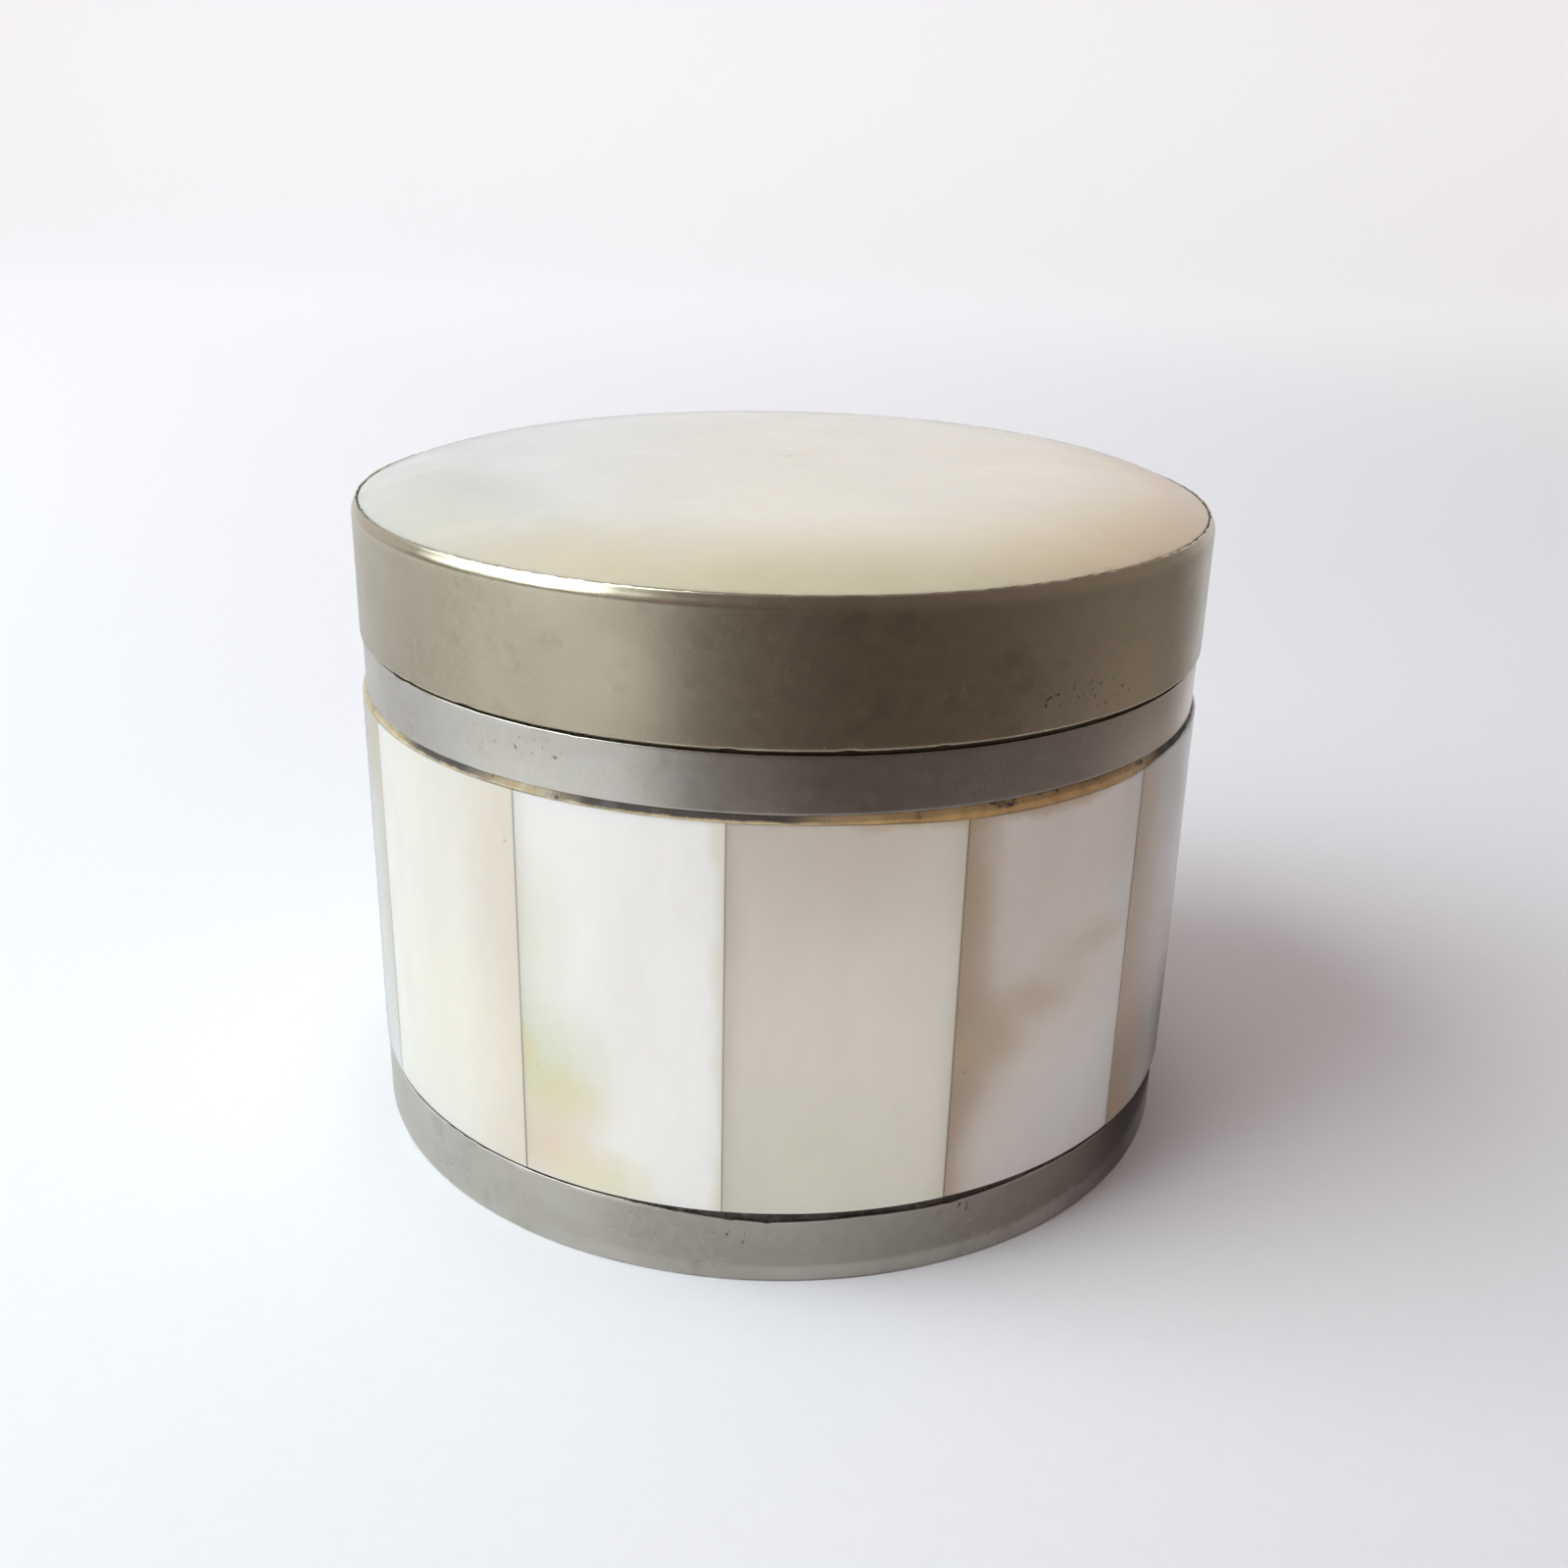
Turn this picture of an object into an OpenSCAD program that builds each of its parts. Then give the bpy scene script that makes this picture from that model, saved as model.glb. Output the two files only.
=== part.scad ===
// Round pill box: a drum of shell staves held between two metal bands, closed by a
// slip lid with a domed shell disc. Millimetres, +Z up. The origin is the centre of
// the underside, and the front faces -Y.

/* [Whole box] */
// Radius of the base band and of the lid
outer_r = 20; // [17:0.5:25]
// Height of the lower half, from the underside to the shoulder that the lid meets
body_h = 24.1; // [20:0.1:32]

/* [Base] */
// Height of the base band
base_band_h = 3.25; // [2.5:0.05:5]
// Wall of the base band
base_band_wall = 0.5; // [0.4:0.05:0.6]
// Thickness of the floor disc
floor_h = 0.8; // [0.5:0.1:1.5]

/* [Shell staves] */
// How far the staves stand out from the base band's face
stave_proud = 0.15; // [0:0.05:0.3]
// Thickness of a stave, from its face to the liner
stave_wall = 2; // [1.6:0.1:2.6]
// Width of the joint between two staves
stave_joint = 0.05; // [0.03:0.01:0.1]
// Direction of the first joint, counted from the front towards the right
first_joint = -61.5; // [-180:0.5:180]

/* [Upper band and collar] */
// How far the upper band sits back from the lid's face
upper_band_recess = 0.13; // [0.1:0.01:0.2]
// Height of the upper band
upper_band_h = 2.55; // [2.2:0.05:3.6]
// How far the band laps over the ends of the staves
upper_band_lap = 1; // [0.6:0.1:1.4]
// Wall of the liner tube
liner_wall = 0.4; // [0.3:0.05:0.6]
// Wall of the collar and thickness of its flange
collar_wall = 0.45; // [0.35:0.05:0.6]
// Height of the collar above the shoulder
collar_rise = 3.4; // [2.6:0.1:3.8]

/* [Lid] */
// Height of the lid's rim
lid_rim_h = 6; // [5.4:0.05:7]
// Gap between the closed lid and the shoulder
lid_seam = 0.12; // [0.1:0.01:0.2]
// Radial clearance between the collar and the lid
lid_clearance = 0.08; // [0.03:0.01:0.1]
// Wall of the lip around the lid's shell disc
lip_wall = 0.28; // [0.25:0.01:0.35]
// Thickness of the metal disc under the shell
lid_plate_h = 0.4; // [0.3:0.1:0.5]
// Depth of the lip above the metal disc
lip_depth = 1; // [0.8:0.05:1.2]
// Rise of the shell disc from its edge to its middle
dome_rise = 1.6; // [0.6:0.05:2.5]
// Fullness of the dome: 2 is a plain bowl curve, and more is flat with a rounded shoulder
dome_power = 7; // [2:0.5:8]

/* [Cement] */
// Height of the cement line between the base band and the staves
lower_cement_h = 0.3; // [0.15:0.05:0.4]
// How far that line sits back from the base band's face
lower_cement_recess = 0.15; // [0.1:0.05:0.3]
// Height of the cement line between the staves and the upper band
upper_cement_h = 0.25; // [0.15:0.05:0.4]
// Width of the cement line around the lid's shell disc
cement_w = 0.1; // [0.08:0.01:0.2]

/* [Hidden] */
// Degrees that each stave covers. They are cut by hand, so they aren't quite even.
STAVE_WIDTHS = [30, 26, 27.5, 28.5, 27, 28, 27, 28.5, 27, 27.5, 28, 27, 28];
STAVE_COUNT = len(STAVE_WIDTHS);
STAVE_NAMES = [for (i = [1:STAVE_COUNT]) str("stave_", i < 10 ? "0" : "", i)];

$fn = 128;

// Directions
FRONT = 270;

// Small edges
EDGE = 0.12;
LIP_CHAMFER_R = 0.2;
LIP_CHAMFER_Z = 0.3;
CEMENT_INSET = 0.05;

// Radii
base_band_in_r = outer_r - base_band_wall;
stave_r = outer_r + stave_proud;
liner_r = stave_r - stave_wall;
bore_r = liner_r - liner_wall;
upper_band_r = outer_r - upper_band_recess;
lid_in_r = outer_r - 0.6;
collar_r = lid_in_r - lid_clearance;
collar_in_r = collar_r - collar_wall;
lip_in_r = outer_r - lip_wall;
pearl_r = lip_in_r - cement_w;

// Heights
upper_band_z = body_h - upper_band_h;
stave_top_z = upper_band_z + upper_band_lap;
flange_top_z = stave_top_z + collar_wall;
collar_top_z = body_h + collar_rise;
lid_z = body_h + lid_seam;
lid_lip_z = lid_z + lid_rim_h;
lid_floor_z = lid_lip_z - lip_depth;
lid_ledge_z = lid_floor_z - lid_plate_h;
bed_h = 0.1;
pearl_z = lid_floor_z + bed_h;
pearl_edge_z = lid_lip_z - CEMENT_INSET;
DOME_STEPS = 24;

// Sum of the first n stave widths, in degrees
function widths_before(n) = n == 0 ? 0 : STAVE_WIDTHS[n - 1] + widths_before(n - 1);

// Height of the dome at a given part of its radius, from 0 in the middle to 1 at the edge
function dome_z(part) = pearl_edge_z + dome_rise * (1 - pow(part, dome_power));

// A plain ring between two radii, from z = low to z = high
module ring(in_r, out_r, low, high) {
    translate([0, 0, low])
        difference() {
            cylinder(r = out_r, h = high - low);
            translate([0, 0, -1])
                cylinder(r = in_r, h = high - low + 2);
        }
}

// A band whose two outer edges are broken by a small chamfer
module band(in_r, out_r, low, high) {
    rotate_extrude()
        polygon([
            [in_r, low],
            [out_r - EDGE, low],
            [out_r, low + EDGE],
            [out_r, high - EDGE],
            [out_r - EDGE, high],
            [in_r, high]
        ]);
}

// Floor disc, flush with the underside of the base band
module base_plate() {
    color("dimgray")
        cylinder(r = base_band_in_r, h = floor_h);
}

// Band around the foot of the box, which laps over the ends of the staves
module base_band() {
    color("gray")
        band(base_band_in_r, outer_r, 0, base_band_h);
}

// Dark cement line between the base band and the faces of the staves
module lower_cement() {
    color("black")
        ring(base_band_in_r, outer_r - lower_cement_recess, base_band_h, base_band_h + lower_cement_h);
}

// Tube that the staves are glued around
module liner() {
    color("silver")
        ring(bore_r, liner_r, floor_h, stave_top_z);
}

// One shell stave: a round-faced slat whose two ends are cut back to go inside the bands
module stave(index) {
    low_face_z = base_band_h + lower_cement_h;
    high_face_z = upper_band_z - upper_cement_h;
    joint_angle = stave_joint / stave_r * 180 / PI;
    color("ivory")
        rotate([0, 0, FRONT + first_joint + widths_before(index) + joint_angle / 2])
            rotate_extrude(angle = STAVE_WIDTHS[index] - joint_angle)
                polygon([
                    [liner_r, floor_h],
                    [base_band_in_r, floor_h],
                    [base_band_in_r, low_face_z],
                    [stave_r, low_face_z],
                    [stave_r, high_face_z],
                    [collar_r, high_face_z],
                    [collar_r, stave_top_z],
                    [liner_r, stave_top_z]
                ]);
}

// Yellowed cement line between the upper band and the faces of the staves
module upper_cement() {
    color("tan")
        ring(collar_r, upper_band_r + CEMENT_INSET, upper_band_z - upper_cement_h, upper_band_z);
}

// Band around the top of the staves, whose upper edge is the shoulder under the lid
module upper_band() {
    color("gray")
        band(collar_r, upper_band_r, upper_band_z, body_h);
}

// Flanged collar: the flange covers the ends of the staves, and the lid slips over the wall
module collar() {
    color("silver")
        rotate_extrude()
            polygon([
                [bore_r, stave_top_z],
                [collar_r, stave_top_z],
                [collar_r, collar_top_z - EDGE],
                [collar_r - EDGE, collar_top_z],
                [collar_in_r, collar_top_z],
                [collar_in_r, flange_top_z],
                [bore_r, flange_top_z]
            ]);
}

// Rim of the lid: a deep band with a ledge for the metal disc and a thin lip above it
module lid_rim() {
    color("gray")
        rotate_extrude()
            polygon([
                [lid_in_r, lid_z],
                [outer_r - EDGE, lid_z],
                [outer_r, lid_z + EDGE],
                [outer_r, lid_lip_z - LIP_CHAMFER_Z],
                [outer_r - LIP_CHAMFER_R, lid_lip_z],
                [lip_in_r, lid_lip_z],
                [lip_in_r, lid_ledge_z],
                [lid_in_r, lid_ledge_z]
            ]);
}

// Metal disc that closes the lid and carries the shell disc
module lid_plate() {
    color("silver")
        translate([0, 0, lid_ledge_z])
            cylinder(r = lip_in_r, h = lid_plate_h);
}

// Cement bed under the shell disc, with the dark line that shows around its edge
module lid_cement() {
    color("black")
        rotate_extrude()
            polygon([
                [0, lid_floor_z],
                [lip_in_r, lid_floor_z],
                [lip_in_r, pearl_edge_z - CEMENT_INSET],
                [pearl_r, pearl_edge_z - CEMENT_INSET],
                [pearl_r, pearl_z],
                [0, pearl_z]
            ]);
}

// Domed shell disc on top of the lid
module lid_pearl() {
    color("ivory")
        rotate_extrude()
            polygon(concat(
                [[0, pearl_z], [pearl_r, pearl_z]],
                [for (k = [DOME_STEPS:-1:0])
                    let (part = sin(90 * k / DOME_STEPS))
                        [pearl_r * part, dome_z(part)]]
            ));
}

base_plate();
base_band();
lower_cement();
liner();
for (i = [0:STAVE_COUNT - 1])
    stave(i);
upper_cement();
upper_band();
collar();
lid_rim();
lid_plate();
lid_cement();
lid_pearl();
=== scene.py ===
"""Looks for the round shell pill box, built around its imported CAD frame.

Every length is in metres. Sizes and places come from the CAD nodes.
"""

import math

import bpy
import numpy as np
from mathutils import Matrix, Vector


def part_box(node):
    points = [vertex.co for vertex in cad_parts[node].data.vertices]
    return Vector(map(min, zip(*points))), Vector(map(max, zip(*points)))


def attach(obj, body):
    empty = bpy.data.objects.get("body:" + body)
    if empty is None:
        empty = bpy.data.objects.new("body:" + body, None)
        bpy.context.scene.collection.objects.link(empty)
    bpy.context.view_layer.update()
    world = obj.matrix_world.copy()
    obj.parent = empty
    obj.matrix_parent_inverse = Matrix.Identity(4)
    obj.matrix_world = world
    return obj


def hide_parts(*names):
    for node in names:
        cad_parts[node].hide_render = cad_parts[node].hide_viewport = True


MM = 0.001
# Pieces round a turned part: the lid's rim and the ragged beads take more
SEGMENTS = 480
RIM_SEGMENTS = 720
BEAD_SEGMENTS = 960
# Longest step along an outline, and along the sweep of a stave
STEP = 0.18 * MM
SLAT_STEP = 0.25 * MM
# Millimetres from the end of a stave to the extra cuts that round it, and its sharpest bend
SLAT_EDGE = (0, 0.004, 0.008, 0.014, 0.025, 0.05, 0.1)
SHARP_ANGLE = math.radians(50)

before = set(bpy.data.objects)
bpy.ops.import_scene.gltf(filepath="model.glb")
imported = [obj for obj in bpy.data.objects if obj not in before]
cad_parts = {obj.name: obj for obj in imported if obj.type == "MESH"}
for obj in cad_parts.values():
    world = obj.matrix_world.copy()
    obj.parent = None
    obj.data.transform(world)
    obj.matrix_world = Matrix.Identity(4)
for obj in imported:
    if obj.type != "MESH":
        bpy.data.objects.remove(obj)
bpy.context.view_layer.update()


# -------- numbers from the frame


def heights(node):
    """Lowest and highest z of a CAD node."""
    low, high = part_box(node)
    return low.z, high.z


def outer_radius(node):
    """Largest radius of a round CAD node."""
    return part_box(node)[1].x


def node_radii(node):
    """The radius of every vertex of a CAD node."""
    return np.array([math.hypot(v.co.x, v.co.y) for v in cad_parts[node].data.vertices])


BOX_R = outer_radius("base_band")
BASE_Z, BASE_TOP = heights("base_band")
BASE_IN_R = node_radii("base_band").min()
FLOOR_TOP = heights("base_plate")[1]
BORE_R = node_radii("liner").min()
LINER_R = outer_radius("liner")
LINER_TOP = heights("liner")[1]
BAND_R = outer_radius("upper_band")
BAND_Z, BAND_TOP = heights("upper_band")
COLLAR_R = outer_radius("collar")
COLLAR_Z, COLLAR_TOP = heights("collar")
STAVE_R = node_radii("stave_01").max()
LOW_CEMENT_TOP = heights("lower_cement")[1]
HIGH_CEMENT_Z = heights("upper_cement")[0]
LID_R = outer_radius("lid_rim")
LID_Z, LIP_Z = heights("lid_rim")
LID_IN_R = node_radii("lid_rim").min()
LIP_IN_R = outer_radius("lid_cement")
PLATE_Z, PLATE_TOP = heights("lid_plate")
PEARL_R = outer_radius("lid_pearl")
PEARL_Z, PEARL_TOP = heights("lid_pearl")
PEARL_EDGE_Z = max(
    v.co.z
    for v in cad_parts["lid_pearl"].data.vertices
    if math.hypot(v.co.x, v.co.y) > PEARL_R - 0.05 * MM
)
STAVES = sorted(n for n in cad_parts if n.startswith("stave_"))


# -------- smooth random fields


class Field:
    """Smooth random values over space: the same numbers on every run."""

    def __init__(self, seed):
        self.table = np.random.default_rng(seed).uniform(-1, 1, 4096)

    def _corner(self, i, j, k):
        return self.table[(i * 73 + j * 1051 + k * 3001) % 4096]

    def at(self, x, y, z):
        """Value between -1 and 1 at a point whose lattice cells are one unit wide."""
        cell = [np.floor(c).astype(int) for c in (x, y, z)]
        share = [c - i for c, i in zip((x, y, z), cell)]
        share = [s * s * (3 - 2 * s) for s in share]
        total = 0
        for corner in np.ndindex(2, 2, 2):
            a, b, c = (s if far else 1 - s for s, far in zip(share, corner))
            place = (i + far for i, far in zip(cell, corner))
            total = total + a * b * c * self._corner(*place)
        return total

    def around(self, angle, radius, z, size):
        """Value on a round wall, for features of the given size."""
        return self.at(
            radius * np.cos(angle) / size, radius * np.sin(angle) / size, z / size
        )


# -------- mesh code


def smoothstep(low, high, value):
    """0 below low, 1 above high, and an easy curve between."""
    t = np.clip((value - low) / (high - low), 0, 1)
    return t * t * (3 - 2 * t)


def rounded(corners, step=STEP):
    """Closed outline through (radius, z, fillet) corners, with points at most one step apart."""
    points = []
    count = len(corners)
    for i in range(count):
        here = np.array(corners[i][:2])
        before = np.array(corners[i - 1][:2]) - here
        after = np.array(corners[(i + 1) % count][:2]) - here
        fillet = corners[i][2]
        if fillet <= 0:
            points.append(here)
            continue
        before /= np.linalg.norm(before)
        after /= np.linalg.norm(after)
        half = math.acos(np.clip(before @ after, -1, 1)) / 2
        reach = fillet / math.tan(half)
        middle = before + after
        centre = here + middle / np.linalg.norm(middle) * fillet / math.sin(half)
        start = here + before * reach - centre
        end = here + after * reach - centre
        turn = math.pi - 2 * half
        pieces = max(3, math.ceil(turn * fillet / step * 2))
        for k in range(pieces + 1):
            share = k / pieces
            mixed = (
                math.sin((1 - share) * turn) * start + math.sin(share * turn) * end
            ) / math.sin(turn)
            points.append(centre + mixed)
    path = []
    for i, point in enumerate(points):
        following = points[(i + 1) % len(points)]
        cuts = max(1, math.ceil(np.linalg.norm(following - point) / step))
        for k in range(cuts):
            path.append(point + (following - point) * k / cuts)
    return np.array(path)


def band_outline(in_r, out_r, low, high, low_fillet=0, high_fillet=0, step=STEP):
    """Outline of a plain band, whose two outer edges may be rounded."""
    corners = [(in_r, low, 0), (out_r, low, low_fillet), (out_r, high, high_fillet), (in_r, high, 0)]
    return rounded(corners, step)


def mesh_object(name, points, faces):
    """A smooth-shaded mesh object in the scene."""
    mesh = bpy.data.meshes.new(name)
    mesh.from_pydata([tuple(p) for p in points], [], faces)
    mesh.validate()
    mesh.shade_smooth()
    obj = bpy.data.objects.new(name, mesh)
    bpy.context.scene.collection.objects.link(obj)
    return obj


def turned_points(outline, angle, shape=None):
    """(radius, z) points repeated at each angle about Z. shape(angle, r, z) may move them."""
    turn, radius = np.meshgrid(angle, outline[:, 0], indexing="ij")
    height = np.broadcast_to(outline[:, 1], radius.shape)
    if shape:
        radius, height = shape(turn, radius, height)
    return np.stack([radius * np.cos(turn), radius * np.sin(turn), height], -1).reshape(-1, 3)


def skin(rows, count, joins):
    """Faces of so many joins between rows of points, whose every row is a loop of count points."""
    faces = []
    for i in range(joins):
        here, there = i * count, (i + 1) % rows * count
        for j in range(count):
            k = (j + 1) % count
            faces.append((here + j, there + j, there + k, here + k))
    return faces


def turned_ring(name, outline, shape=None, segments=SEGMENTS):
    """A closed outline turned all the way about Z."""
    angle = np.arange(segments) / segments * 2 * math.pi
    faces = skin(segments, len(outline), segments)
    return mesh_object(name, turned_points(outline, angle, shape), faces)


def turned_disc(name, outline, shape):
    """An open outline, from the axis round to the axis, turned all the way about Z."""
    angle = np.arange(SEGMENTS) / SEGMENTS * 2 * math.pi
    points = turned_points(outline[1:-1], angle, shape)
    count = len(outline) - 2
    first, last = len(points), len(points) + 1
    points = np.vstack([points, [[0, 0, outline[0, 1]], [0, 0, outline[-1, 1]]]])
    faces = []
    for i in range(SEGMENTS):
        here, there = i * count, (i + 1) % SEGMENTS * count
        faces.append((first, there, here))
        faces.append((last, here + count - 1, there + count - 1))
        for j in range(count - 1):
            faces.append((here + j, there + j, there + j + 1, here + j + 1))
    return mesh_object(name, points, faces)


def swept_slat(name, outline, start, sweep, shape):
    """A closed outline swept through part of a turn, with flat ends."""
    reach = outline[:, 0].max()
    edge = np.array(SLAT_EDGE) * MM / reach
    margin = 2 * edge[-1]
    inside = np.linspace(margin, sweep - margin, math.ceil(sweep * reach / SLAT_STEP))
    angle = start + np.concatenate([edge, inside, sweep - edge[::-1]])
    pieces, count = len(angle) - 1, len(outline)
    faces = skin(len(angle), count, pieces)
    faces.append(tuple(range(count)))
    faces.append(tuple(pieces * count + j for j in reversed(range(count))))
    slat = mesh_object(name, turned_points(outline, angle, shape), faces)
    slat.data.set_sharp_from_angle(angle=SHARP_ANGLE)
    return slat


# -------- node code


class Paint:
    """One material's nodes. Patterns are measured in millimetres of the object's own space."""

    def __init__(self, name):
        self.material = bpy.data.materials.new(name)
        self.material.use_nodes = True
        self.tree = self.material.node_tree
        self.shader = self.tree.nodes["Principled BSDF"]
        place = self.node("TexCoord").outputs["Object"]
        self.place = self.scaled(place, (1 / MM,) * 3)
        split = self.node("SeparateXYZ")
        self.link(self.place, split.inputs[0])
        self.x, self.y, self.z = split.outputs

    def node(self, kind, **settings):
        """A new shader node with its settings."""
        node = self.tree.nodes.new("ShaderNode" + kind)
        for name, value in settings.items():
            setattr(node, name, value)
        return node

    def link(self, source, socket):
        """Wires an output into a socket, or sets the socket to a plain value."""
        if isinstance(source, bpy.types.NodeSocket):
            self.tree.links.new(source, socket)
        else:
            socket.default_value = source

    def tint(self, colour, socket):
        """Wires a colour into a socket, or sets the socket to a plain one."""
        self.link((*colour, 1) if isinstance(colour, tuple) else colour, socket)

    def vector_math(self, operation, vector, values):
        """One arithmetic step on a vector and three plain values."""
        node = self.node("VectorMath", operation=operation)
        self.link(vector, node.inputs[0])
        node.inputs[1].default_value = values
        return node.outputs[0]

    def scaled(self, vector, factors):
        """A vector stretched along its three axes."""
        return self.vector_math("MULTIPLY", vector, factors)

    def moved(self, amount):
        """The place vector, shifted so that another noise is drawn from it."""
        return self.vector_math("ADD", self.place, amount)

    def math(self, operation, a, b=0.0):
        """One arithmetic step."""
        node = self.node("Math", operation=operation)
        self.link(a, node.inputs[0])
        self.link(b, node.inputs[1])
        return node.outputs[0]

    def times(self, a, b):
        return self.math("MULTIPLY", a, b)

    def plus(self, a, b):
        return self.math("ADD", a, b)

    def minus(self, a, b):
        return self.math("SUBTRACT", a, b)

    def length(self, a, b):
        """Length of the flat vector (a, b)."""
        return self.math("SQRT", self.plus(self.times(a, a), self.times(b, b)))

    def ramp(self, value, low, high, bottom=0.0, top=1.0):
        """A smooth step of value from low to high."""
        node = self.node("MapRange", interpolation_type="SMOOTHSTEP")
        for socket, given in zip(node.inputs[:5], (value, low, high, bottom, top)):
            self.link(given, socket)
        return node.outputs[0]

    def noise(self, scale, stretch=(1, 1, 1), detail=4.0, roughness=0.55, warp=0.0, at=None):
        """Noise with so many features a millimetre."""
        node = self.node("TexNoise")
        self.link(self.scaled(at or self.place, stretch), node.inputs["Vector"])
        node.inputs["Scale"].default_value = scale
        node.inputs["Detail"].default_value = detail
        node.inputs["Roughness"].default_value = roughness
        node.inputs["Distortion"].default_value = warp
        return node.outputs["Fac"]

    def azimuth(self):
        """Degrees about Z, from the front towards the right."""
        turn = self.math("ARCTAN2", self.x, self.times(self.y, -1.0))
        return self.math("DEGREES", turn)

    def window(self, value, low, high, soft):
        """1 where value is between low and high, easing to 0 outside."""
        rise = self.ramp(value, low - soft, low + soft)
        return self.times(rise, self.ramp(value, high + soft, high - soft))

    def specks(self, scale, share, size, at):
        """Small round spots in a given share of cells: 1 on a spot, 0 off it."""
        node = self.node("TexVoronoi")
        self.link(at, node.inputs["Vector"])
        node.inputs["Scale"].default_value = scale
        chosen = self.node("SeparateColor")
        self.link(node.outputs["Color"], chosen.inputs[0])
        picked = self.math("LESS_THAN", chosen.outputs[0], share)
        spot = self.ramp(node.outputs["Distance"], size, size * 0.4)
        return self.times(picked, spot)

    def mix(self, share, a, b):
        """Colour a where share is 0, b where it is 1."""
        node = self.node("Mix", data_type="RGBA")
        self.link(share, node.inputs["Factor"])
        self.tint(a, node.inputs["A"])
        self.tint(b, node.inputs["B"])
        return node.outputs["Result"]

    def shade(self, colour, factor):
        """A colour times a grey value."""
        node = self.node("VectorMath", operation="SCALE")
        self.link(colour, node.inputs[0])
        self.link(factor, node.inputs["Scale"])
        return node.outputs[0]

    def turned_towards(self, direction, share):
        """The surface's normal, turned part of the way to a direction of the object's own space."""
        way = self.node(
            "VectorTransform", vector_type="NORMAL", convert_from="OBJECT", convert_to="WORLD"
        )
        way.inputs[0].default_value = direction
        blend = self.node("Mix", data_type="VECTOR")
        blend.inputs["Factor"].default_value = share
        self.link(self.node("NewGeometry").outputs["Normal"], blend.inputs["A"])
        self.link(way.outputs[0], blend.inputs["B"])
        unit = self.node("VectorMath", operation="NORMALIZE")
        self.link(blend.outputs["Result"], unit.inputs[0])
        return unit.outputs[0]

    def bump(self, height, depth, before=None):
        """A bump whose full height is depth metres."""
        node = self.node("Bump")
        node.inputs["Distance"].default_value = depth
        self.link(height, node.inputs["Height"])
        if before:
            self.link(before, node.inputs["Normal"])
        return node.outputs[0]

    def finish(self, colour, roughness, normal=None, **fixed):
        """Wires the shader. fixed are plain values for its own sockets."""
        self.tint(colour, self.shader.inputs["Base Color"])
        self.link(roughness, self.shader.inputs["Roughness"])
        if normal:
            self.link(normal, self.shader.inputs["Normal"])
        for name, value in fixed.items():
            self.shader.inputs[name.replace("_", " ")].default_value = value
        return self.material


def tarnished_metal(name, low, high, seed, tones, painted_light_zones, spots, lip=False):
    """White metal with soft tarnish, faint scratches, a few pits and edges worn bright.

    tones are its light, dark and brown colours. The zones are stretches of painted light and shade:
    brighter as a painted highlight, duller as painted shade, with the highlights painted strongest
    towards the foot: (first and last degree from the front, strength, brightness). spots are the pitted
    places: (degrees from the front, height, half width in degrees, half height), with heights in
    millimetres.
    """
    light, dark, brown = tones
    p = Paint(name)
    own = p.moved((seed * 7.3, seed * 3.1, seed * 5.7))
    blotch = p.ramp(p.noise(0.2, stretch=(1, 1, 1.7), detail=4, roughness=0.5, at=own), 0.36, 0.68)
    broad = p.ramp(p.noise(0.07, detail=2, at=own), 0.38, 0.64)
    fine = p.noise(1.7, detail=3, roughness=0.5, at=own)
    colour = p.mix(blotch, light, dark)
    colour = p.mix(p.times(broad, 0.7), colour, brown)
    colour = p.shade(colour, p.ramp(fine, 0.25, 0.75, 0.965, 1.03))
    turn = p.azimuth()
    bright = tuple(min(1, c * 1.4) for c in light)
    smudge = p.ramp(p.noise(0.5, detail=5, roughness=0.6, at=p.moved((seed, 3, 8))), 0.55, 0.7)
    colour = p.mix(p.times(smudge, 0.3), colour, tuple(c * 0.6 for c in brown))
    # Painted highlights and painted shade in stretches round the band; the highlights are painted
    # strongest towards the foot.
    foot = p.ramp(p.z, high / MM, low / MM, 0.4, 1.0)
    for first, last, strength, brightness in painted_light_zones:
        tint = tuple(min(1, c * brightness) for c in (light if brightness > 1 else brown))
        share = p.times(p.window(turn, first, last, 10.0), strength)
        share = p.times(share, foot) if brightness > 1 else share
        colour = p.mix(share, colour, tint)
    pits = p.times(p.specks(0.8, 0.05, 0.05, at=own), 0.5)
    for middle, height, half_width, half_height in spots:
        wide = p.window(turn, middle - half_width, middle + half_width, half_width * 0.5)
        tall = p.window(p.z, height - half_height, height + half_height, half_height * 0.5)
        some = p.ramp(p.noise(3.2, detail=3, roughness=0.6, at=own), 0.6, 0.68)
        pits = p.math("MAXIMUM", pits, p.times(some, p.times(wide, tall)))
    colour = p.mix(p.times(pits, 0.8), colour, (0.05, 0.035, 0.025))
    line = p.noise(1.0, stretch=(0.1, 0.1, 5), detail=1, at=own)
    scratch = p.ramp(line, 0.64, 0.74)
    colour = p.mix(p.times(scratch, 0.12), colour, light)
    worn = p.ramp(p.noise(0.5, detail=3, at=own), 0.46, 0.6)
    above = p.minus(p.z, low / MM)
    below = p.minus(high / MM, p.z)
    wear = p.math("MAXIMUM", p.ramp(above, 0.16, 0.0), p.ramp(below, 0.16, 0.0))
    wear = p.times(wear, worn)
    colour = p.mix(p.times(wear, 0.6), colour, bright)
    rough = p.ramp(fine, 0.3, 0.7, 0.22, 0.25)
    rough = p.plus(rough, p.times(blotch, 0.04))
    rough = p.plus(rough, p.times(pits, 0.2))
    if lip:
        top = p.ramp(p.z, (high / MM) - 0.75, (high / MM) - 0.3)
        colour = p.mix(p.times(top, 0.5), colour, bright)
    normal = p.bump(fine, 0.002 * MM)
    normal = p.bump(p.minus(1.0, pits), 0.006 * MM, normal)
    return p.finish(colour, rough, normal, Metallic=1.0)


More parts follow.
